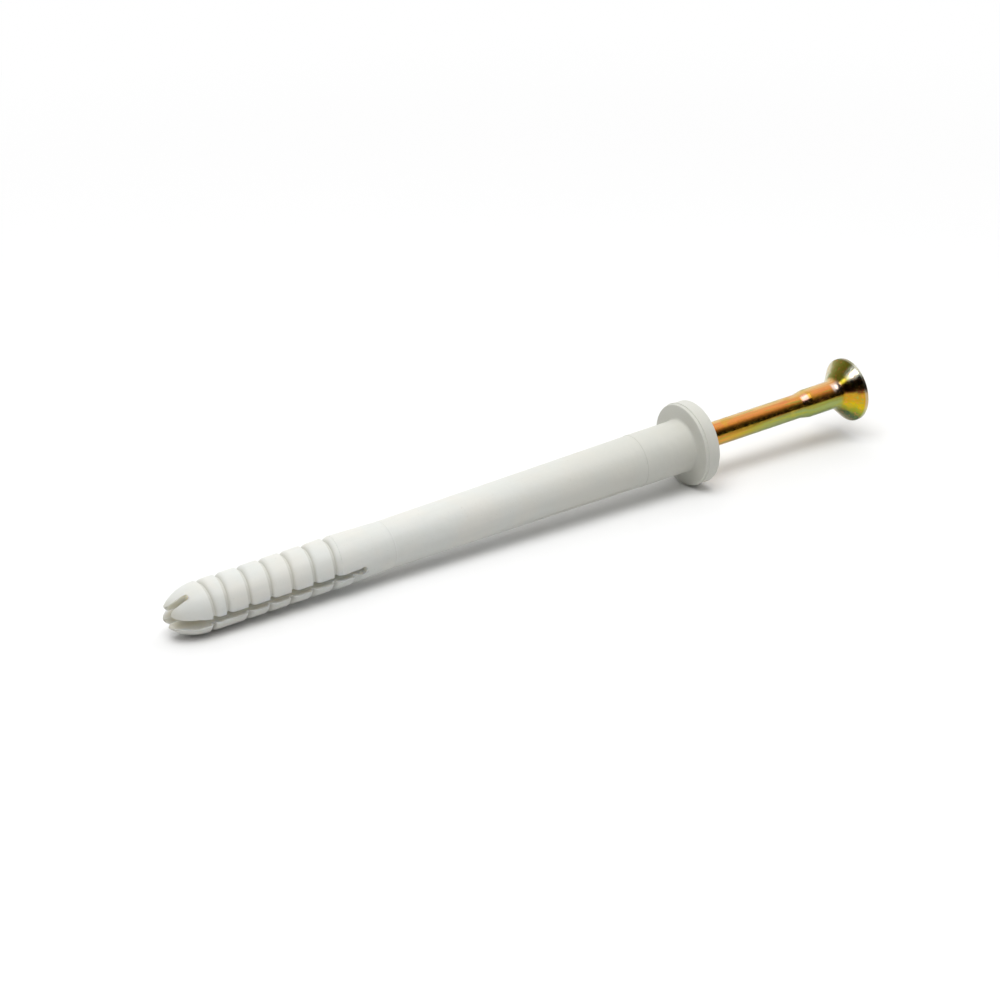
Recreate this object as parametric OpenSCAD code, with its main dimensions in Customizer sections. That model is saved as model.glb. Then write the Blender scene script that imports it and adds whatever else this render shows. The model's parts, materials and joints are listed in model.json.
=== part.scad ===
// Hammer-in wall plug with its nail screw
//
// A slotted nylon sleeve with a flat round collar, and a steel nail screw that is started in it.
// Driving the nail home spreads the two barbed legs behind the wall's hole.
// The fixing lies on its side, as it comes to rest: the collar's edge and the nose touch Z = 0.
// +X runs from the nose towards the nail's head, and the origin is under the middle of its length.
// Both pieces are drawn upright first, with the tip of the nose at z = 0 and the long slots in the
// x-z plane, and are then rolled about their axis and laid down.

/* [Sleeve] */
// Overall length, from the tip of the nose to the outer face of the collar
sleeve_length = 100; // [70:1:160]
// Diameter over the barbs, for a drilled hole of 8 mm
anchor_d = 8.2; // [7.6:0.1:8.6]
// Length of the plain toe between the last groove and the first mould line
toe_length = 11.5; // [8:0.5:20]
// How much wider than the barbs the toe is behind the last groove
toe_swell = 0.2; // [0:0.1:0.5]
// Diameter of the shank at the end of the toe
shank_toe_d = 7.8; // [7:0.1:8.4]
// Diameter of the shank where it meets the root
shank_root_d = 8.8; // [7.8:0.1:9.4]
// Diameter of the root under the collar
root_d = 8.9; // [8:0.1:9.8]
// Length of the root under the collar
root_length = 9.9; // [4:0.1:16]

/* [Collar] */
// Diameter over the parting edge of the collar
collar_d = 14.3; // [13.2:0.1:20]
// Thickness of the collar
collar_h = 3; // [2.2:0.1:4]
// Height of the parting edge above the seat
parting_h = 0.7; // [0.5:0.05:1]
// Draft of the collar's edge on each side of the parting edge
collar_draft = 0.1; // [0.02:0.01:0.2]
// Rounding of the edge of the seat
seat_round = 0.2; // [0.05:0.05:0.4]
// Rounding of the edge of the outer face
face_round = 0.45; // [0.1:0.05:0.9]
// Fillet between the root and the seat
root_fillet = 0.4; // [0.1:0.05:0.8]

/* [Nose] */
// Length of the nose, from its tip to the first groove
nose_length = 5.9; // [4.5:0.1:10]
// Diameter of the blunt tip
nose_tip_d = 4.2; // [3:0.1:6]
// Rounding of the edge of the tip
nose_round = 0.95; // [0.1:0.05:1.2]

/* [Barbs] */
// Number of full barbs behind the short first one
barb_count = 5; // [2:1:8]
// Spacing of the full barbs
barb_pitch = 3.8; // [2.8:0.1:5]
// Length of the short first barb
first_barb = 2.3; // [2:0.1:4]
// Depth of the groove in front of each barb
barb_depth = 0.6; // [0.2:0.05:0.7]
// Width of the groove's flat floor
groove_w = 0.75; // [0.3:0.05:0.9]
// Length of the swell from the groove's floor to the full diameter
barb_swell = 0.85; // [0.5:0.05:1]

/* [Slots] */
// Width of the long slots between the two legs
slot_w = 1.2; // [0.8:0.1:1.8]
// How much wider than the slot its round end is
slot_end_extra = 0.3; // [0:0.1:1]
// How far the long slots run on past the last groove
slot_run = 6.1; // [4.5:0.1:7.5]
// How much wider the long slots are at the tip of the nose
slot_flare = 1; // [0.2:0.1:1.4]
// Depth from the tip over which the long slots keep their full flare
flare_depth = 3.7; // [2:0.1:4.3]
// Width of the short cross slots at their inner end
cross_slot_w = 1; // [0.8:0.1:1.4]
// How much wider the cross slots are at the tip
cross_slot_flare = 0.45; // [0.05:0.05:0.8]
// Depth of the cross slots
cross_slot_depth = 3.3; // [1.5:0.1:4.3]
// Rounding in the inner corners of the cross slots
cross_slot_round = 0.3; // [0.1:0.05:0.35]
// Angle between the cross slots and the long slots
cross_slot_turn = 80; // [60:5:90]

/* [Bore] */
// Clearance round the nail's shank in the bore, on the radius
shank_fit = 0.1; // [0.05:0.01:0.2]
// Clearance round the nail's neck in its counterbore, on the radius
neck_fit = 0.1; // [0.05:0.01:0.2]
// Clearance round the nail's head in the collar's countersink, on the radius
head_fit = 0.2; // [0.1:0.05:0.4]
// Spare depth of the counterbore below the neck when the nail is driven home
neck_spare = 1; // [0.2:0.1:3]
// Diameter of the bore where it narrows to at the nose
bore_tip_d = 1.6; // [1:0.1:2.4]
// Length of plain bore between the last groove and the narrowing stretch
bore_run = 3.8; // [2:0.1:6]

/* [Nail] */
// How much longer the nail is than the sleeve
nail_extra = 0; // [0:0.5:10]
// Gap between the nail's point and the narrowing stretch of the bore
point_gap = 2; // [0.5:0.1:8]
// Diameter of the nail's smooth shank
nail_d = 4.2; // [3.8:0.1:4.4]
// Diameter of the core under the drive thread
core_d = 3.7; // [3.2:0.1:3.7]
// Length of the threaded core, point included
thread_length = 55; // [30:1:60]
// Length of the tapered point
point_length = 6; // [3:0.5:9]
// Diameter of the blunt end of the point
point_d = 0.8; // [0.4:0.1:1.4]
// Length of the taper between core and shank
core_taper = 0.6; // [0.3:0.1:1.5]

/* [Neck and head] */
// Diameter of the neck
neck_d = 4.9; // [4.6:0.1:5.4]
// Distance from the head's face to the far end of the neck's step
neck_reach = 11.4; // [9:0.1:14]
// Length of the step between shank and neck
neck_step = 1.9; // [0.5:0.1:3]
// Diameter of the countersunk head
head_d = 11; // [9.5:0.1:11.4]
// Height of the head's straight edge
head_edge = 0.55; // [0.3:0.05:0.9]
// Angle of the countersink
head_angle = 90; // [80:1:110]
// Radius of the fillet between neck and head
head_fillet = 1.6; // [0.4:0.1:2.2]
// Rounding of the edge of the head's face
head_round = 0.15; // [0.05:0.05:0.25]

/* [Driver recess] */
// Width over the wings of the cross recess at the head's face
recess_d = 6.2; // [5:0.1:7]
// Depth of the cross recess
recess_depth = 3.2; // [2:0.1:4]
// Thickness of each wing
wing_w = 1.15; // [0.8:0.05:1.5]
// Width over the wings at the floor of the recess
recess_floor_d = 2.4; // [1.8:0.1:3]
// Diameter of the recess's centre at the head's face
recess_hub_d = 2.8; // [2:0.1:3.4]

/* [Resting place] */
// Roll of the fixing about its axis: the turn of a long slot from straight up towards -Y
lie_roll = 105; // [0:5:175]

/* [Hidden] */
$fn = 96;
eps = 0.01;
arc_steps = 10;

anchor_r = anchor_d / 2;
collar_r = collar_d / 2;
nail_r = nail_d / 2;
neck_r = neck_d / 2;
head_r = head_d / 2;

// Heights along the sleeve, from the tip of the nose
seat_z = sleeve_length - collar_h;
root_z = seat_z - root_length;
barbs_end_z = nose_length + first_barb + barb_count * barb_pitch;
toe_end_z = barbs_end_z + toe_length;
slot_end_z = barbs_end_z + slot_run;
bore_from_z = barbs_end_z + bore_run;
parting_z = seat_z + parting_h;

// The nail, from its point to the face of its head
point_z = bore_from_z + point_gap;
nail_length = sleeve_length + nail_extra;
face_z = point_z + nail_length;
bore_r = nail_r + shank_fit;
head_slope = tan(head_angle / 2);

// The sleeve lies on the parting edge of its collar and on the end of its nose
lie_tilt = atan((collar_r - anchor_r) / (parting_z - nose_length));
lie_low = parting_z * sin(lie_tilt) - collar_r * cos(lie_tilt);
lie_back = -(nose_tip_d / 2 - nose_round) * sin(lie_tilt) - nose_round * (1 - cos(lie_tilt));
lie_front = face_z * cos(lie_tilt) + head_r * sin(lie_tilt);

// Points [radius, height] on an arc about [cr, cz], from angle a to angle b
function arc(cr, cz, r, a, b) =
    [for (i = [0 : arc_steps]) let (t = a + (b - a) * i / arc_steps) [cr + r * cos(t), cz + r * sin(t)]];

// Radius of the arc that rises by h over length l and ends parallel to the axis
function swell_r(l, h) = (l * l + h * h) / (2 * h);

// Points of such an arc, from [r - h, z] up to [r, z + l]
function swell(r, z, l, h) =
    let (big = swell_r(l, h)) arc(r - big, z + l, big, -asin(l / big), 0);

// One barb: the floor of its groove, its swell and its straight crest up to the sharp rear edge
function barb(z, length) = concat(
    [[anchor_r - barb_depth, z]],
    swell(anchor_r, z + groove_w, barb_swell, barb_depth),
    [[anchor_r, z + length]]);

function barb_z(i) = nose_length + first_barb + i * barb_pitch;

// The tip's rounding runs on without a corner into the big arc of the nose's side
function nose_outline() =
    let (
        tip_r = nose_tip_d / 2 - nose_round,
        rise = nose_length - nose_round,
        reach = anchor_r - tip_r,
        big = (reach * reach + rise * rise - nose_round * nose_round) / (2 * (reach - nose_round)),
        lean = asin(rise / (big - nose_round)))
    concat(
        [[0, 0]],
        arc(tip_r, nose_round, nose_round, -90, -lean),
        arc(anchor_r - big, nose_length, big, -lean, 0),
        barb(nose_length, first_barb));

function barbs_outline() = [for (i = [0 : barb_count - 1]) each barb(barb_z(i), barb_pitch)];

function shank_outline() = concat(
    [[anchor_r - barb_depth, barbs_end_z]],
    swell(anchor_r + toe_swell / 2, barbs_end_z + groove_w, barb_swell, barb_depth + toe_swell / 2),
    [[shank_toe_d / 2, toe_end_z], [shank_root_d / 2, root_z], [root_d / 2, root_z]],
    arc(root_d / 2 + root_fillet, seat_z - root_fillet, root_fillet, 180, 90));

function collar_outline() = concat(
    arc(collar_r - collar_draft - seat_round, seat_z + seat_round, seat_round, -90, 0),
    [[collar_r, parting_z]],
    arc(collar_r - collar_draft - face_round, sleeve_length - face_round, face_round, 0, 90),
    [[0, sleeve_length]]);

// Narrowing stretch, plain bore, counterbore for the neck and countersink for the head
module bore() {
    neck_bore_r = neck_r + neck_fit;
    sink_r = head_r + head_fit;
    sink_z = sleeve_length - head_edge - (sink_r - neck_bore_r) / head_slope;
    neck_bore_z = sleeve_length - neck_reach - neck_spare;
    rotate_extrude()
        polygon([
            [0, -eps], [bore_tip_d / 2, -eps],
            [bore_r, bore_from_z], [bore_r, neck_bore_z - (neck_bore_r - bore_r)],
            [neck_bore_r, neck_bore_z], [neck_bore_r, sink_z],
            [sink_r, sleeve_length - head_edge], [sink_r, sleeve_length + eps],
            [0, sleeve_length + eps]]);
}

// The long slots part the sleeve into two legs, and flare in the nose
module long_slots() {
    width = collar_d;
    end_r = (slot_w + slot_end_extra) / 2;
    end_z = slot_end_z - end_r;
    flare_w = slot_w + slot_flare;
    rotate([90, 0, 90])
        translate([0, 0, -width / 2]) {
            linear_extrude(width)
                polygon([
                    [-flare_w / 2, -eps], [flare_w / 2, -eps], [flare_w / 2, flare_depth],
                    [slot_w / 2, nose_length], [slot_w / 2, end_z],
                    [-slot_w / 2, end_z], [-slot_w / 2, nose_length],
                    [-flare_w / 2, flare_depth]]);
            translate([0, end_z, 0])
                cylinder(r = end_r, h = width);
        }
}

// The cross slots part the tip of each leg in two
module cross_slots() {
    width = collar_d;
    tip_w = cross_slot_w + cross_slot_flare;
    floor_w = cross_slot_w - 2 * cross_slot_round;
    round_z = cross_slot_depth - cross_slot_round;
    rotate([0, 0, -cross_slot_turn])
        rotate([90, 0, 90])
            translate([0, 0, -width / 2]) {
                linear_extrude(width)
                    polygon([
                        [-tip_w / 2, -eps], [tip_w / 2, -eps],
                        [cross_slot_w / 2, round_z], [floor_w / 2, cross_slot_depth],
                        [-floor_w / 2, cross_slot_depth], [-cross_slot_w / 2, round_z]]);
                for (side = [-1, 1])
                    translate([side * floor_w / 2, round_z, 0])
                        cylinder(r = cross_slot_round, h = width);
            }
}

// Cross recess: two crossed wings within a cone, round a tapered centre
module driver_recess() {
    hub_floor_d = recess_hub_d * recess_floor_d / recess_d;
    translate([0, 0, face_z - recess_depth]) {
        intersection() {
            cylinder(d1 = recess_floor_d, d2 = recess_d, h = recess_depth);
            union() {
                translate([-recess_d / 2, -wing_w / 2, 0])
                    cube([recess_d, wing_w, recess_depth]);
                translate([-wing_w / 2, -recess_d / 2, 0])
                    cube([wing_w, recess_d, recess_depth]);
            }
        }
        cylinder(d1 = hub_floor_d, d2 = recess_hub_d, h = recess_depth);
        translate([0, 0, recess_depth - eps])
            cylinder(d = recess_hub_d, h = 2 * eps);
    }
}

// Rolls an upright piece about its axis and lays it down on the collar's edge and the nose
module laid_down() {
    translate([-(lie_back + lie_front) / 2, 0, -lie_low])
        rotate([0, -lie_tilt, 0])
            rotate([0, 90, 0])
                rotate([0, 0, lie_roll])
                    children();
}

module plug_sleeve() {
    color([0.86, 0.87, 0.84])
        laid_down()
            difference() {
                rotate_extrude()
                    polygon(concat(nose_outline(), barbs_outline(), shank_outline(), collar_outline()));
                bore();
                long_slots();
                cross_slots();
            }
}

module nail_screw() {
    thread_z = point_z + thread_length;
    step_z = face_z - neck_reach;
    cone_z = face_z - head_edge - (head_r - neck_r) / head_slope;
    bend = 90 - head_angle / 2;
    fillet_back = head_fillet * tan((90 - bend) / 2);
    color([0.8, 0.6, 0.2])
        laid_down()
            difference() {
                rotate_extrude()
                    polygon(concat(
                        [[0, point_z], [point_d / 2, point_z],
                         [core_d / 2, point_z + point_length],
                         [core_d / 2, thread_z], [nail_r, thread_z + core_taper],
                         [nail_r, step_z], [neck_r, step_z + neck_step]],
                        arc(neck_r + head_fillet, cone_z - fillet_back, head_fillet, 180, 90 + bend),
                        [[head_r, face_z - head_edge]],
                        arc(head_r - head_round, face_z - head_round, head_round, 0, 90),
                        [[0, face_z]]));
                driver_recess();
            }
}

plug_sleeve();
nail_screw();
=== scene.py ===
"""The looks of a hammer-in wall plug with its nail screw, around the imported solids."""

import json
import math

import bmesh
import bpy
from mathutils import Matrix, Vector


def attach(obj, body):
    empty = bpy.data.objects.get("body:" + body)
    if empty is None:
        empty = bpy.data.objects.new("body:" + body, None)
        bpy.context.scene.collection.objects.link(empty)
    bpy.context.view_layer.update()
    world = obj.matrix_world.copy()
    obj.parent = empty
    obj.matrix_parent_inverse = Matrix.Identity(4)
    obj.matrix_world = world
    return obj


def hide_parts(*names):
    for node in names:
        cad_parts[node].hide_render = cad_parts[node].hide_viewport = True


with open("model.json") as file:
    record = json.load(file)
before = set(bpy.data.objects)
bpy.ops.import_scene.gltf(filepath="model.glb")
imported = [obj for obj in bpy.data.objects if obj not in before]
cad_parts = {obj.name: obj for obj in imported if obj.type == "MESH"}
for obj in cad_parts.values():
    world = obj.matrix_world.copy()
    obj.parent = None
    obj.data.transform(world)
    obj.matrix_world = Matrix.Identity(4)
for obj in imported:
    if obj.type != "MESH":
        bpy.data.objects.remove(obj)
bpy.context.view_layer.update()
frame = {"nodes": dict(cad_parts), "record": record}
MM = 0.001

# Camera: its place in metres, lens and sensor in mm, turns in degrees, and clip distances in metres
CAMERA_PLACE = (-0.245420, -0.367811, 0.205677)
CAMERA_LENS, CAMERA_SENSOR = 108.065, 36
CAMERA_HEADING, CAMERA_DOWN, CAMERA_ROLL = -33.0828, 24.355, -1.573
CAMERA_CLIP = (0.01, 20)

# Sizes of the fixing are in mm, and heights (Z) count from the tip of the sleeve's nose. Those of
# the sleeve are its solid's, apart from the grooves, the mouths of the slots, the tip of the bore,
# and the fin on the collar's parting edge.

# Nose, barbs, toe, shank and root
BARB_R = 4.1
NOSE_LENGTH, NOSE_TIP_R, NOSE_ROUND = 5.9, 2.1, 0.95
BARBS_END_Z, TOE_END_Z, ROOT_Z = 27.2, 38.7, 87.1
TOE_R, TOE_SWELL, SHANK_TOE_R, SHANK_ROOT_R = 4.2, 1.6, 3.9, 4.4
ROOT_R, ROOT_STEP, ROOT_FILLET = 4.45, 0.02, 0.4

# Collar, with the fin on its parting edge
SEAT_Z, SLEEVE_LENGTH, COLLAR_R = 97.0, 100.0, 7.15
PARTING_H, COLLAR_DRAFT, SEAT_ROUND, FACE_ROUND = 0.7, 0.1, 0.2, 0.45
FIN_H, FIN_W = 0.03, 0.13

# Grooves: their section, their places, and their lean in degrees; one leg's stand further on
GROOVE_DEPTH, GROOVE_W, BARB_SWELL = 0.58, 0.62, 0.95
GROOVE_COUNT, FIRST_GROOVE_Z, BARB_PITCH = 6, 8.8, 3.8
LEG_STAGGER, GROOVE_LEAN = 2.6, 8.0

# Slots: half widths, ends and flares, the angle between them in degrees, and the petals' round ends
SLOT_HALF, SLOT_END_R, SLOT_END_Z, SLOT_FLARE, FLARE_DEPTH = 0.6, 0.75, 33.3, 0.35, 3.7
CROSS_HALF, CROSS_FLARE, CROSS_DEPTH, CROSS_ROUND, CROSS_TURN = 0.5, 0.1, 3.3, 0.3, 80.0
PETAL_ROUND = 0.75

# Bore, counterbore for the neck and countersink for the head
BORE_TIP_R, BORE_FROM_Z, BORE_R = 0.9, 31.0, 2.2
NECK_BORE_R, NECK_BORE_Z, SINK_R, SINK_EDGE = 2.55, 87.6, 5.7, 0.55

# The turn of a long slot, in degrees from straight up towards -Y
SLEEVE_ROLL = 105.0

# How the sleeve is cut: steps round the sleeve and along each groove, and a groove's arc in degrees
SLEEVE_STEPS, GROOVE_STEPS = 144, 60
GROOVE_FROM, GROOVE_TO = 4, 176
# How far the grooves' cutter stands outside the barbs, as a whole and at the end of its swell
GROOVE_OVER, GROOVE_PROUD = 0.5, 0.012
# How far the slots' cutters reach from the axis, and the height that they start from
SLOT_REACH, MOUTH_Z = 9.0, -1.0
# The distance below which points are joined, and the angle in degrees from which an edge is sharp
LEAST_EDGE, SHARP_ANGLE = 0.002, 24

# Nail: the face of its head, the edge of its neck's step, the fillet under its head, its thread
FACE_Z, STEP_Z, FILLET_Z = 133.0, 122.4, 129.0
THREAD_FROM_Z, THREAD_TO_Z, THREAD_PITCH, THREAD_STEPS = 39.5, 87.6, 2.4, 40
THREAD_CORE_R, THREAD_CREST, THREAD_RUNOUT = 1.8, 0.30, 0.06

# Flashes along the shank, by their turn in degrees, and the ring at the end of the toe
FLASH_TURNS = {"parting_flash_front": 131, "parting_flash_back": 311}
FLASH_FROM_Z, FLASH_TO_Z, FLASH_STEPS = 62.0, 87.0, 60
FLASH_HALF, FLASH_HEIGHT, FLASH_LEAST, FLASH_SUNK = 0.18, 0.10, 0.012, 0.03
RING_STEPS = 96
RING_PROFILE = ((-0.16, -0.02), (-0.06, 0.022), (0.06, 0.022), (0.16, -0.02))

# Nylon: two whites, flow lines, specks; painted shade towards the collar, deeper in, on groove
# floors
NYLON_COOL, NYLON_WARM = (0.825, 0.84, 0.80), (0.855, 0.845, 0.785)
NYLON_FLOW, NYLON_COLLAR_SHADE, NYLON_SPECK = (0.77, 0.78, 0.735), (0.70, 0.695, 0.62), (0.62, 0.61, 0.55)
NYLON_BORE_SHADE, NYLON_GROOVE_SHADE = (0.58, 0.54, 0.42), (0.56, 0.55, 0.49)
NYLON_IOR, NYLON_SCATTER = 1.53, (1.0, 0.92, 0.78)
# How much light scatters under its skin, and in the walls of its slots
SKIN_GLOW, WALL_GLOW = 0.08, 0.9

# Zinc: a painted highlight on the head, the streaks and clouds, and the bare rim
ZINC_PAINTED_GLINT, ZINC_BARE = (0.84, 0.83, 0.66), (0.46, 0.47, 0.40)
ZINC_ROSE, ZINC_GREEN, ZINC_GOLD = (0.72, 0.24, 0.09), (0.28, 0.38, 0.07), (0.66, 0.42, 0.03)
# Low front tints between two heights (film tint, painted reflection); painted highlights by height
LOW_TINTS_AND_REFLECTIONS = ((112.0, 103.0, (0.74, 0.26, 0.07)), (106.0, 117.0, (0.22, 0.36, 0.14)))
HIGHLIGHT_TINTS = ((STEP_Z, 0.9, (0.90, 0.50, 0.40)), (FILLET_Z, 1.0, (0.94, 0.74, 0.62)))
# Tints round the shank and the head by turn in degrees: film tints and painted reflections
SHANK_TINTS_AND_REFLECTIONS = (
    (-180, (0.50, 0.24, 0.04)), (-140, (0.56, 0.36, 0.04)), (-95, (0.30, 0.40, 0.07)),
    (-55, (0.72, 0.56, 0.20)), (-25, (0.74, 0.60, 0.28)), (-5, (0.80, 0.52, 0.20)),
    (15, (0.80, 0.32, 0.09)), (45, (0.68, 0.24, 0.04)), (66, (0.56, 0.24, 0.02)),
    (84, (0.30, 0.18, 0.012)), (100, (0.46, 0.38, 0.02)), (120, (0.36, 0.37, 0.05)),
    (145, (0.24, 0.32, 0.12)), (180, (0.50, 0.24, 0.04)))
HEAD_TINTS_AND_REFLECTIONS = (
    (-180, (0.24, 0.20, 0.05)), (-135, (0.46, 0.30, 0.04)), (-90, (0.50, 0.44, 0.12)),
    (-45, (0.62, 0.60, 0.40)), (-25, (0.32, 0.29, 0.07)), (5, (0.26, 0.22, 0.02)),
    (26, (0.30, 0.26, 0.02)), (50, (0.12, 0.06, 0.01)), (68, (0.20, 0.06, 0.02)),
    (84, (0.56, 0.30, 0.02)), (104, (0.64, 0.46, 0.01)), (120, (0.34, 0.36, 0.03)),
    (138, (0.08, 0.16, 0.07)), (180, (0.24, 0.20, 0.05)))

# Floor: its half width in metres, its grey in the light that it sends on to the object, and the
# distances over which the camera comes to see it as plain white
FLOOR_HALF, FLOOR_GREY = 3.0, 0.68
WHITE_FROM, WHITE_TO = 0.13, 0.30

# The fixing's axis, from the nose to the nail's head, and the middle of the head's face
mounts = {mount["name"]: mount for mount in frame["record"]["mounts"]}
AXIS = Vector(mounts["driver_recess"]["axis"]).normalized()
FACE = Vector(mounts["driver_recess"]["pos_m"])
UP = Vector((-AXIS.z, 0, AXIS.x))
SIDE = Vector((0, -1, 0))
NOSE = FACE - AXIS * FACE_Z * MM


def at(z, radius=0.0, turn=0.0):
    """The point at a height, a radius and a turn in degrees from straight up towards -Y."""
    angle = math.radians(turn)
    out = UP * math.cos(angle) + SIDE * math.sin(angle)
    return NOSE + (AXIS * z + out * radius) * MM


# Node helpers

def material(name):
    made = bpy.data.materials.new(name)
    made.use_nodes = True
    made.node_tree.nodes.clear()
    return made, made.node_tree


def node(tree, kind, inputs=None, **settings):
    """A shader node; an input that is a socket is linked, and any other is set."""
    made = tree.nodes.new("ShaderNode" + kind)
    for key, value in settings.items():
        setattr(made, key, value)
    for key, value in (inputs or {}).items():
        if isinstance(value, bpy.types.NodeSocket):
            tree.links.new(value, made.inputs[key])
        else:
            made.inputs[key].default_value = value
    return made


def calc(tree, operation, *values):
    return node(tree, "Math", dict(enumerate(values)), operation=operation).outputs[0]


def times(tree, first, second):
    return calc(tree, "MULTIPLY", first, second)


def off(tree, value, middle):
    """How far the value lies from the middle, either way."""
    return calc(tree, "ABSOLUTE", calc(tree, "SUBTRACT", value, middle))


def span(tree, value, low, high, to_low=0.0, to_high=1.0):
    """The value's smooth passage from low to high, as to_low to to_high."""
    return node(tree, "MapRange", {"Value": value, "From Min": low, "From Max": high,
                                   "To Min": to_low, "To Max": to_high},
                interpolation_type="SMOOTHSTEP").outputs[0]


def mix(tree, factor, first, second):
    """A blend of two colours, each of them a socket or three numbers."""
    first, second = (colour if isinstance(colour, bpy.types.NodeSocket) else (*colour, 1)
                     for colour in (first, second))
    return node(tree, "Mix", {0: factor, 6: first, 7: second}, data_type="RGBA").outputs[2]


def layered(tree, colour, layers):
    """Lays tints over a colour, each as its value passes from low to high, up to its share."""
    for value, low, high, share, tint in layers:
        colour = mix(tree, span(tree, value, low, high, 0.0, share), colour, tint)
    return colour


def noise(tree, vector, scale, detail):
    return node(tree, "TexNoise",
                {"Vector": vector, "Scale": scale, "Detail": detail}).outputs["Fac"]


def ramp(tree, value, stops):
    """A colour ramp over stops of (place from 0 to 1, colour)."""
    made = node(tree, "ValToRGB", {"Fac": value})
    made.color_ramp.interpolation = "EASE"
    elements = made.color_ramp.elements
    while len(elements) < len(stops):
        elements.new(0.5)
    for element, (place, colour) in zip(elements, stops):
        element.position = place
    for element, (place, colour) in zip(elements, stops):
        element.color = (*colour, 1)
    return made.outputs["Color"]


def bumped(tree, height, strength, depth):
    """A normal that follows the height, over a depth in mm."""
    return node(tree, "Bump", {"Height": height, "Strength": strength,
                               "Distance": depth * MM}).outputs[0]


def principled(tree, inputs):
    """Ends a material with one principled shader."""
    skin = node(tree, "BsdfPrincipled", inputs)
    node(tree, "OutputMaterial", {"Surface": skin.outputs[0]})


def fixing_coordinates(tree):
    """Millimetres along the axis, upwards and towards -Y from it, as sockets."""
    place = node(tree, "TexCoord").outputs["Object"]
    offset = node(tree, "VectorMath", {0: place, 1: NOSE}, operation="SUBTRACT").outputs[0]
    return [node(tree, "VectorMath", {0: offset, 1: direction / MM},
                 operation="DOT_PRODUCT").outputs["Value"] for direction in (AXIS, UP, SIDE)]


def radius_of(tree, up, side):
    return calc(tree, "SQRT", calc(tree, "ADD", times(tree, up, up), times(tree, side, side)))


def turn_of(tree, up, side):
    """The turn about the axis in degrees, from straight up towards -Y."""
    return calc(tree, "DEGREES", calc(tree, "ARCTAN2", side, up))


def streaked(tree, along, up, side, stretch):
    """Coordinates in mm, drawn out lengthwise by the given factor."""
    return node(tree, "CombineXYZ",
                {0: calc(tree, "DIVIDE", along, stretch), 1: up, 2: side}).outputs[0]


# Materials

def nylon():
    """Pale moulded nylon with a satin skin. The walls of its slots scatter more light."""
    made, tree = material("nylon")
    along, up, side = fixing_coordinates(tree)
    radius = radius_of(tree, up, side)
    plain = streaked(tree, along, up, side, 1.0)
    drawn = streaked(tree, along, up, side, 9.0)

    # Cloudy cool and warm whites, flow lines, painted shade towards the collar, and fine specks
    colour = layered(tree, NYLON_COOL, (
        (noise(tree, plain, 0.16, 2.5), 0.35, 0.65, 1.0, NYLON_WARM),
        (noise(tree, drawn, 1.3, 3.0), 0.3, 0.75, 0.3, NYLON_FLOW),
        (along, 45.0, SEAT_Z, 0.7, NYLON_COLLAR_SHADE),
        (noise(tree, plain, 3.6, 1.0), 0.7, 0.78, 0.35, NYLON_SPECK)))

    # Painted shade deeper in: the walls of the bore and of the slots are darker and warmer
    depth = span(tree, radius, 3.0, 1.6)
    colour = mix(tree, times(tree, depth, 0.45), colour, NYLON_BORE_SHADE)

    # Painted shade: the floors of the grooves are darker than the barbs
    floor_r = BARB_R - GROOVE_DEPTH
    groove_shade = times(tree, span(tree, radius, BARB_R - 0.1, floor_r + 0.06),
                 span(tree, radius, floor_r - 0.3, floor_r - 0.05))
    groove_shade = times(tree, groove_shade, span(tree, along, BARBS_END_Z + 4.0, BARBS_END_Z + 3.0))
    groove_shade = times(tree, groove_shade, span(tree, along, NOSE_LENGTH - 0.4, NOSE_LENGTH - 0.1, 0.0, 0.5))
    colour = mix(tree, groove_shade, colour, NYLON_GROOVE_SHADE)

    # Satin skin: shallow waves, and a fine grain
    waves = noise(tree, plain, 0.55, 2.0)
    grain = noise(tree, plain, 5.5, 2.0)
    height = calc(tree, "ADD", times(tree, waves, 1.6), times(tree, grain, 0.16))
    gloss = span(tree, noise(tree, drawn, 0.9, 2.0), 0.3, 0.7, 0.40, 0.52)

    # Light comes through the plastic, and shows most on the walls of the long and cross slots:
    # each has the turn of its width, its half width, and the height where it ends
    glow = SKIN_GLOW
    slots = ((SLEEVE_ROLL - 90, SLOT_HALF + SLOT_FLARE, SLOT_END_Z),
             (SLEEVE_ROLL - CROSS_TURN + 90, CROSS_HALF + CROSS_FLARE, CROSS_DEPTH))
    for turn, half, end in slots:
        angle = math.radians(turn)
        across = calc(tree, "ADD", times(tree, up, math.cos(angle)),
                      times(tree, side, math.sin(angle)))
        wall = span(tree, calc(tree, "ABSOLUTE", across), half + 0.15, half)
        wall = times(tree, wall, span(tree, along, end + 0.3, end))
        glow = calc(tree, "MAXIMUM", glow, times(tree, wall, WALL_GLOW))
    principled(tree, {
        "Base Color": colour, "Roughness": gloss, "Normal": bumped(tree, height, 0.7, 0.03),
        "IOR": NYLON_IOR, "Subsurface Weight": glow, "Subsurface Radius": NYLON_SCATTER,
        "Subsurface Scale": span(tree, glow, 0.1, 0.6, 0.35 * MM, 2.2 * MM)})
    return made


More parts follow.
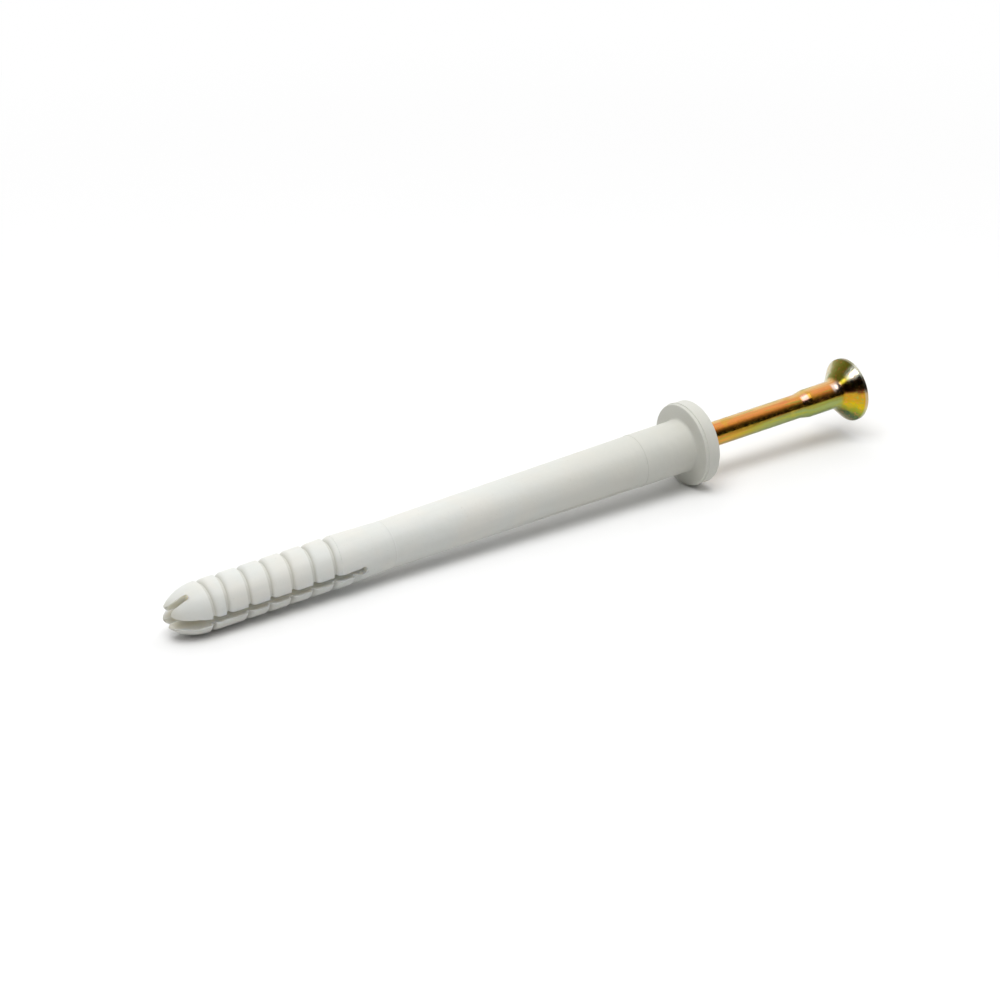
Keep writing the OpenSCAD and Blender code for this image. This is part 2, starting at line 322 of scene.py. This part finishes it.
def zinc():
    """Zinc-plated steel; its film's yellow, green and rose, and painted reflections, lie in bands.
    """
    made, tree = material("yellow_zinc")
    along, up, side = fixing_coordinates(tree)
    radius, turn = radius_of(tree, up, side), turn_of(tree, up, side)
    plain = streaked(tree, along, up, side, 1.0)
    drawn = streaked(tree, along, up, side, 14.0)

    # Bands of tint and painted reflection run lengthwise and wander; -180 degrees starts the ramps
    wander = calc(tree, "SUBTRACT", noise(tree, drawn, 0.55, 2.0), 0.5)
    band = calc(tree, "ADD", turn, times(tree, wander, 46.0))
    band = calc(tree, "FRACT", calc(tree, "DIVIDE", calc(tree, "ADD", band, 540.0), 360.0))
    shank, head = (ramp(tree, band, [((angle + 180) / 360, tint) for angle, tint in tints])
                   for tints in (SHANK_TINTS_AND_REFLECTIONS, HEAD_TINTS_AND_REFLECTIONS))
    colour = mix(tree, span(tree, radius, 2.5, 3.1), shank, head)

    # A painted highlight: a pale patch on the head's cone, near its top
    glint = times(tree, span(tree, off(tree, turn, 33.0), 20.0, 8.0),
                 span(tree, radius, 3.6, 4.8))
    colour = mix(tree, glint, colour, ZINC_PAINTED_GLINT)

    # Streaks of rose and green drawn out along the nail, and blurred clouds of gold
    streaks = noise(tree, drawn, 2.3, 3.0)
    colour = layered(tree, colour, (
        (streaks, 0.56, 0.70, 0.6, ZINC_ROSE),
        (streaks, 0.45, 0.33, 0.6, ZINC_GREEN),
        (noise(tree, plain, 0.30, 3.0), 0.54, 0.70, 0.45, ZINC_GOLD)))

    # Low front side: rose by the collar, teal by the step; film tint with painted reflection
    low = times(tree, span(tree, turn, 70.0, 92.0), span(tree, turn, 165.0, 145.0))
    low = times(tree, low, span(tree, streaks, 0.35, 0.6, 0.35, 1.0))
    for from_z, to_z, tint in LOW_TINTS_AND_REFLECTIONS:
        share = times(tree, low, span(tree, along, from_z, to_z, 0.0, 0.7))
        share = times(tree, share, span(tree, radius, 2.9, 2.5))
        colour = mix(tree, share, colour, tint)

    # Painted highlights: pale rosy patches on the step's edge and the fillet under the head
    highlight_turns = span(tree, off(tree, turn, 38.0), 30.0, 8.0)
    for z, half, tint in HIGHLIGHT_TINTS:
        near = span(tree, off(tree, along, z), half, half * 0.4)
        colour = mix(tree, times(tree, near, highlight_turns), colour, tint)

    # The film wears thin on the rim of the head, where bright zinc shows
    rim = times(tree, span(tree, radius, 5.25, 5.5),
                span(tree, along, FACE_Z - 0.8, FACE_Z - 0.5))
    colour = mix(tree, times(tree, rim, 0.5), colour, ZINC_BARE)

    # Drawing lines along the wire, and the plating's fine orange peel
    lines = noise(tree, drawn, 7.0, 2.0)
    peel = noise(tree, plain, 1.6, 2.0)
    height = calc(tree, "ADD", times(tree, lines, 0.12), peel)
    principled(tree, {
        "Base Color": colour, "Metallic": 1.0, "Roughness": span(tree, peel, 0.35, 0.7, 0.16, 0.27),
        "Normal": bumped(tree, height, 0.5, 0.01)})
    return made


# Meshes and objects

def placed(name, data):
    """A new object in the scene, for a mesh, a lamp or a camera."""
    made = bpy.data.objects.new(name, data)
    bpy.context.scene.collection.objects.link(made)
    return made


def raw_mesh(name, points, faces):
    mesh = bpy.data.meshes.new(name)
    mesh.from_pydata(points, [], faces)
    mesh.validate()
    return mesh


def swept(name, sections, finish, closed=False):
    """A piece: a skin over sections of as many points each, with ends unless it is closed."""
    count = len(sections[0])
    points = [point for section in sections for point in section]
    last = len(sections) if closed else len(sections) - 1
    faces = []
    for row in range(last):
        this, following = row * count, (row + 1) % len(sections) * count
        for k in range(count):
            after = (k + 1) % count
            faces.append((this + k, this + after, following + after, following + k))
    if not closed:
        faces.append(tuple(reversed(range(count))))
        faces.append(tuple(range(len(points) - count, len(points))))
    mesh = raw_mesh(name, points, faces)
    mesh.materials.append(finish)
    mesh.shade_smooth()
    made = placed(name, mesh)
    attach(made, "root")


def arc(middle, height, radius, start, end, steps=10):
    """Points (radius, height) on an arc round a middle, between two angles in degrees."""
    points = []
    for step in range(steps + 1):
        angle = math.radians(start + (end - start) * step / steps)
        points.append((middle + radius * math.cos(angle), height + radius * math.sin(angle)))
    return points


def swell(radius, height, length, rise):
    """An arc from (radius - rise, height) up to (radius, height + length), and level there."""
    big = (length * length + rise * rise) / (2 * rise)
    return arc(radius - big, height + length, big, -math.degrees(math.asin(length / big)), 0)


def revolved(outline, steps, start=0.0, end=360.0, lean=0.0):
    """Points and faces of a closed outline of (radius, height), revolved and sheared along x."""
    full = end - start >= 360
    count, rows = len(outline), steps if full else steps + 1
    points = []
    for row in range(rows):
        angle = math.radians(start + (end - start) * row / steps)
        for radius, height in outline:
            x, y = radius * math.cos(angle), radius * math.sin(angle)
            points.append((x, y, height + x * lean))
    faces = []
    for row in range(steps):
        this, following = row * count, (row + 1) % rows * count
        for k in range(count):
            after = (k + 1) % count
            faces.append((this + k, following + k, following + after, this + after))
    if not full:
        faces.append(tuple(range(count)))
        faces.append(tuple(reversed(range(steps * count, (steps + 1) * count))))
    return points, faces


# The sleeve

def sleeve_outline():
    """The sleeve's outside from its tip to its face, and back down its bore."""
    tip = NOSE_TIP_R - NOSE_ROUND
    rise, reach = NOSE_LENGTH - NOSE_ROUND, BARB_R - tip
    big = (reach * reach + rise * rise - NOSE_ROUND * NOSE_ROUND) / (2 * (reach - NOSE_ROUND))
    lean = math.degrees(math.asin(rise / (big - NOSE_ROUND)))
    outline = arc(tip, NOSE_ROUND, NOSE_ROUND, -90, -lean, 14)
    outline += arc(BARB_R - big, NOSE_LENGTH, big, -lean, 0, 24)[1:]

    # The ring groove behind the nose, and the stretch that the other grooves are cut into
    outline += [(BARB_R - GROOVE_DEPTH, NOSE_LENGTH)]
    outline += swell(BARB_R, NOSE_LENGTH + GROOVE_W, BARB_SWELL, GROOVE_DEPTH)
    outline += [(BARB_R, BARBS_END_Z), (TOE_R, BARBS_END_Z + TOE_SWELL), (SHANK_TOE_R, TOE_END_Z),
                (SHANK_ROOT_R, ROOT_Z), (ROOT_R, ROOT_Z + ROOT_STEP)]
    outline += arc(ROOT_R + ROOT_FILLET, SEAT_Z - ROOT_FILLET, ROOT_FILLET, 180, 90)

    edge, parting_z = COLLAR_R - COLLAR_DRAFT, SEAT_Z + PARTING_H
    outline += arc(edge - FIN_H - SEAT_ROUND, SEAT_Z + SEAT_ROUND, SEAT_ROUND, -90, 0, 6)
    outline += [(edge - FIN_H, parting_z - FIN_W), (COLLAR_R, parting_z - FIN_W / 3),
                (COLLAR_R, parting_z + FIN_W / 3), (edge - FIN_H, parting_z + FIN_W)]
    outline += arc(edge - FACE_ROUND, SLEEVE_LENGTH - FACE_ROUND, FACE_ROUND, 0, 90)

    sink_z = SLEEVE_LENGTH - SINK_EDGE
    outline += [(SINK_R, SLEEVE_LENGTH), (SINK_R, sink_z),
                (NECK_BORE_R, sink_z - (SINK_R - NECK_BORE_R)), (NECK_BORE_R, NECK_BORE_Z),
                (BORE_R, NECK_BORE_Z - (NECK_BORE_R - BORE_R)), (BORE_R, BORE_FROM_Z),
                (BORE_TIP_R, 0.0)]
    return outline


def groove_cutter():
    """The leaning grooves of both legs, square at one end and swelling to the barb at the other."""
    over, last = BARB_R + GROOVE_OVER, GROOVE_W + BARB_SWELL
    outline = [(BARB_R - GROOVE_DEPTH, 0.0)]
    outline += swell(BARB_R + GROOVE_PROUD, GROOVE_W, BARB_SWELL, GROOVE_DEPTH + GROOVE_PROUD)
    # Past the swell the cutter clears the toe, and closes outside the sleeve
    outline += [(TOE_R + 0.2, last + 0.3), (over, last + 0.5), (over, 0.0)]
    lean = math.tan(math.radians(GROOVE_LEAN))
    ring, skin = revolved(outline[::-1], GROOVE_STEPS, GROOVE_FROM, GROOVE_TO, lean)
    points, faces = [], []
    for side in (1, -1):
        for k in range(GROOVE_COUNT):
            base = FIRST_GROOVE_Z + k * BARB_PITCH + (LEG_STAGGER if side < 0 else 0)
            first = len(points)
            points += [(side * x, side * y, z + base) for x, y, z in ring]
            faces += [tuple(first + corner for corner in face) for face in skin]
    return raw_mesh("groove_cutter", points, faces)


def slot_cutter(outline, turn):
    """A slot right across the sleeve: an outline of (across, height), turned about the axis."""
    angle = math.radians(turn)
    ahead, across = (math.cos(angle), math.sin(angle)), (-math.sin(angle), math.cos(angle))
    count = len(outline)
    points = []
    for far in (-SLOT_REACH, SLOT_REACH):
        for side, height in outline:
            points.append((far * ahead[0] + side * across[0],
                           far * ahead[1] + side * across[1], height))
    faces = [tuple(reversed(range(count))), tuple(range(count, 2 * count))]
    faces += [(k, (k + 1) % count, count + (k + 1) % count, count + k) for k in range(count)]
    return raw_mesh("slot_cutter", points, faces)


def petal_corner(half):
    """One side of a slot's mouth, where the end of each petal is round."""
    mouth = half + PETAL_ROUND
    return [(mouth, MOUTH_Z)] + arc(mouth, PETAL_ROUND, PETAL_ROUND, 270, 180, 10)


def both_sides(outline):
    """An outline of (across, height) with its mirror image, all the way round."""
    middle = 1e-6
    return outline + [(-side, height) for side, height in reversed(outline) if side > middle]


def long_slot():
    """The outline of a long slot: its round mouth, its flare and its round end."""
    flare, end_z = SLOT_HALF + SLOT_FLARE, SLOT_END_Z - SLOT_END_R
    neck = math.degrees(math.asin(SLOT_HALF / SLOT_END_R))
    half = petal_corner(flare) + [(flare, FLARE_DEPTH), (SLOT_HALF, NOSE_LENGTH)]
    return both_sides(half + arc(0, end_z, SLOT_END_R, neck - 90, 90, 12))


def cross_slot():
    """The outline of a cross slot: its round mouth, and its floor with round corners."""
    half = petal_corner(CROSS_HALF + CROSS_FLARE)
    half += arc(CROSS_HALF - CROSS_ROUND, CROSS_DEPTH - CROSS_ROUND, CROSS_ROUND, 0, 90, 6)
    return both_sides(half)


def without_slivers(mesh):
    """Joins points that nearly meet after the cuts, and takes out faces that lie back to back."""
    made = bmesh.new()
    made.from_mesh(mesh)
    bmesh.ops.remove_doubles(made, verts=made.verts, dist=LEAST_EDGE)
    bmesh.ops.dissolve_degenerate(made, edges=made.edges, dist=LEAST_EDGE)
    bmesh.ops.triangulate(made, faces=made.faces)
    same = {}
    for face in made.faces:
        same.setdefault(frozenset(corner.index for corner in face.verts), []).append(face)
    paired = [face for faces in same.values() if len(faces) > 1 for face in faces]
    bmesh.ops.delete(made, geom=paired, context="FACES_ONLY")
    made.to_mesh(mesh)
    made.free()


def sleeve(finish):
    """The sleeve with its leaning grooves and its slots, in place of the plainer solid."""
    body = placed("sleeve", raw_mesh("sleeve", *revolved(sleeve_outline(), SLEEVE_STEPS)))
    cutters = []
    for mesh in (groove_cutter(), slot_cutter(long_slot(), 0),
                 slot_cutter(cross_slot(), -CROSS_TURN)):
        cutters.append(placed(mesh.name, mesh))
        cut = body.modifiers.new(mesh.name, "BOOLEAN")
        cut.operation, cut.solver, cut.object = "DIFFERENCE", "EXACT", cutters[-1]
    bpy.context.view_layer.update()
    seen = body.evaluated_get(bpy.context.evaluated_depsgraph_get())
    shaped = bpy.data.meshes.new_from_object(seen)
    body.modifiers.clear()
    body.data = shaped
    without_slivers(shaped)
    for cutter in cutters:
        bpy.data.objects.remove(cutter)

    # It is drawn upright, with a long slot along x, and is then laid on the fixing's axis
    along_x, along_y = at(0, 1, SLEEVE_ROLL - 180) - NOSE, at(0, 1, SLEEVE_ROLL - 90) - NOSE
    upright = Matrix((along_x, along_y, AXIS * MM)).transposed().to_4x4()
    shaped.transform(Matrix.Translation(NOSE) @ upright)
    shaped.materials.clear()
    shaped.materials.append(finish)
    shaped.shade_smooth()
    shaped.set_sharp_from_angle(angle=math.radians(SHARP_ANGLE))
    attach(body, "root")
    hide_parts("plug_sleeve")


# Trim of the nail and of the sleeve

def drive_thread(finish):
    """The nail's buttress thread: a ridge that winds up the core, and runs out at both ends."""
    total = int((THREAD_TO_Z - THREAD_FROM_Z) / THREAD_PITCH * THREAD_STEPS)
    sections = []
    for step in range(total + 1):
        z = THREAD_FROM_Z + THREAD_PITCH * step / THREAD_STEPS
        fade = min(1.0, step / THREAD_STEPS, (total - step) / THREAD_STEPS)
        high = THREAD_RUNOUT + (THREAD_CREST - THREAD_RUNOUT) * fade
        turn = 360 * step / THREAD_STEPS
        profile = ((-0.55, 0.0), (0.20, high), (0.32, high), (0.42, 0.0))
        sections.append([at(z + along, THREAD_CORE_R + out, turn) for along, out in profile])
    swept("drive_thread", sections, finish)


def shank_r(z):
    """Radius of the sleeve's tapered shank at height z."""
    share = (z - TOE_END_Z) / (ROOT_Z - TOE_END_Z)
    return SHANK_TOE_R + (SHANK_ROOT_R - SHANK_TOE_R) * share


def parting_flash(name, turn, finish):
    """The thin fin that the two halves of the mould leave along the shank."""
    sections = []
    for step in range(FLASH_STEPS + 1):
        share = step / FLASH_STEPS
        z = FLASH_FROM_Z + (FLASH_TO_Z - FLASH_FROM_Z) * share
        high = FLASH_HEIGHT * min(1.0, 6 * share, 6 * (1 - share)) + FLASH_LEAST
        radius = shank_r(z)
        half = math.degrees(FLASH_HALF / radius)
        profile = ((-half, -FLASH_SUNK), (-half * 0.25, high), (half * 0.25, high),
                   (half, -FLASH_SUNK))
        sections.append([at(z, radius + out, turn + angle) for angle, out in profile])
    swept(name, sections, finish)


def mould_ring(finish):
    """The faint raised line round the shank, where the mould's inserts meet."""
    radius = shank_r(TOE_END_Z)
    sections = []
    for step in range(RING_STEPS):
        turn = 360 * step / RING_STEPS
        sections.append([at(TOE_END_Z + along, radius + out, turn) for along, out in RING_PROFILE])
    swept("mould_ring", sections, finish, closed=True)


# Camera, lamps, floor and surroundings

def place_camera():
    data = bpy.data.cameras.new("camera")
    data.sensor_width, data.lens = CAMERA_SENSOR, CAMERA_LENS
    data.clip_start, data.clip_end = CAMERA_CLIP
    camera = placed("camera", data)
    heading, down = math.radians(CAMERA_HEADING), math.radians(CAMERA_DOWN)
    look = Vector((-math.sin(heading) * math.cos(down), math.cos(heading) * math.cos(down),
                   -math.sin(down)))
    side = Vector((math.cos(heading), math.sin(heading), 0))
    turn = Matrix((side, side.cross(look), -look)).transposed()
    roll = Matrix.Rotation(math.radians(CAMERA_ROLL), 3, "Z")
    camera.matrix_world = Matrix.Translation(CAMERA_PLACE) @ (turn @ roll).to_4x4()
    bpy.context.scene.camera = camera


def lamp(name, place, size, watts, mirrored=True, diffused=True):
    """A soft square lamp that points at the object, for mirrored light, diffused light or both."""
    data = bpy.data.lights.new(name, "AREA")
    data.shape, data.size, data.energy = "SQUARE", size, watts
    made = placed(name, data)
    made.location = place
    made.rotation_euler = (-Vector(place)).to_track_quat("-Z", "Y").to_euler()
    made.visible_glossy, made.visible_diffuse = mirrored, diffused


def floor_piece():
    """A floor that is white when seen or mirrored, and grey in the light that it sends on."""
    made, tree = material("floor")
    rays = node(tree, "LightPath").outputs
    seen = calc(tree, "MAXIMUM", rays["Is Camera Ray"], rays["Is Glossy Ray"])
    colour = mix(tree, seen, (FLOOR_GREY,) * 3, (1.0, 1.0, 1.0))
    base = node(tree, "BsdfDiffuse", {"Color": colour})

    # Well away from the object the camera sees the floor as plain white
    place = node(tree, "TexCoord").outputs["Object"]
    distance = node(tree, "VectorMath", {0: place}, operation="LENGTH").outputs["Value"]
    far = span(tree, distance, WHITE_FROM, WHITE_TO)
    white = node(tree, "Emission", {"Color": (1, 1, 1, 1), "Strength": 1.0})
    both = node(tree, "MixShader", {0: times(tree, far, rays["Is Camera Ray"]),
                                    1: base.outputs[0], 2: white.outputs[0]})
    node(tree, "OutputMaterial", {"Surface": both.outputs[0]})
    corners = [(x * FLOOR_HALF, y * FLOOR_HALF, 0) for x, y in ((-1, -1), (1, -1), (1, 1), (-1, 1))]
    mesh = raw_mesh("floor", corners, [(0, 1, 2, 3)])
    mesh.materials.append(made)
    placed("floor", mesh)


def studio():
    """A pale room: bright above and behind, dimmer to the left, with a dark front to mirror."""
    world = bpy.data.worlds.new("world")
    bpy.context.scene.world = world
    world.use_nodes = True
    tree = world.node_tree
    tree.nodes.clear()
    look = node(tree, "TexCoord").outputs["Generated"]
    parts = node(tree, "SeparateXYZ", {0: look}).outputs
    slant = calc(tree, "ADD", parts["Y"], times(tree, parts["X"], 0.35))
    behind = span(tree, slant, -0.60, 0.16, 0.01, 0.98)
    right = span(tree, parts["X"], -0.9, 0.4, 0.22, 1.0)
    rays = node(tree, "LightPath").outputs
    strength = calc(tree, "MAXIMUM", times(tree, behind, right), rays["Is Camera Ray"])
    back = node(tree, "Background", {"Color": (1, 1, 1, 1), "Strength": strength})
    node(tree, "OutputWorld", {"Surface": back.outputs[0]})


nylon_finish, zinc_finish = nylon(), zinc()
for name, finish in (("plug_sleeve", nylon_finish), ("nail_screw", zinc_finish)):
    part = frame["nodes"][name]
    part.data.materials.clear()
    part.data.materials.append(finish)
sleeve(nylon_finish)
drive_thread(zinc_finish)
for name, turn in FLASH_TURNS.items():
    parting_flash(name, turn, nylon_finish)
mould_ring(nylon_finish)
place_camera()
floor_piece()
studio()
# Each lamp has its place and its size in metres, and its watts
lamp("key", (-0.24, -0.20, 1.15), 0.9, 9.6, mirrored=False)
lamp("spark", (0.20, -0.40, 1.15), 0.75, 2.4, diffused=False)
lamp("rim", (-0.70, -0.03, 0.69), 0.26, 0.75, diffused=False)
lamp("fill", (0.10, -1.00, 0.60), 0.6, 0.7, mirrored=False)
bpy.context.scene.view_settings.view_transform = "Standard"
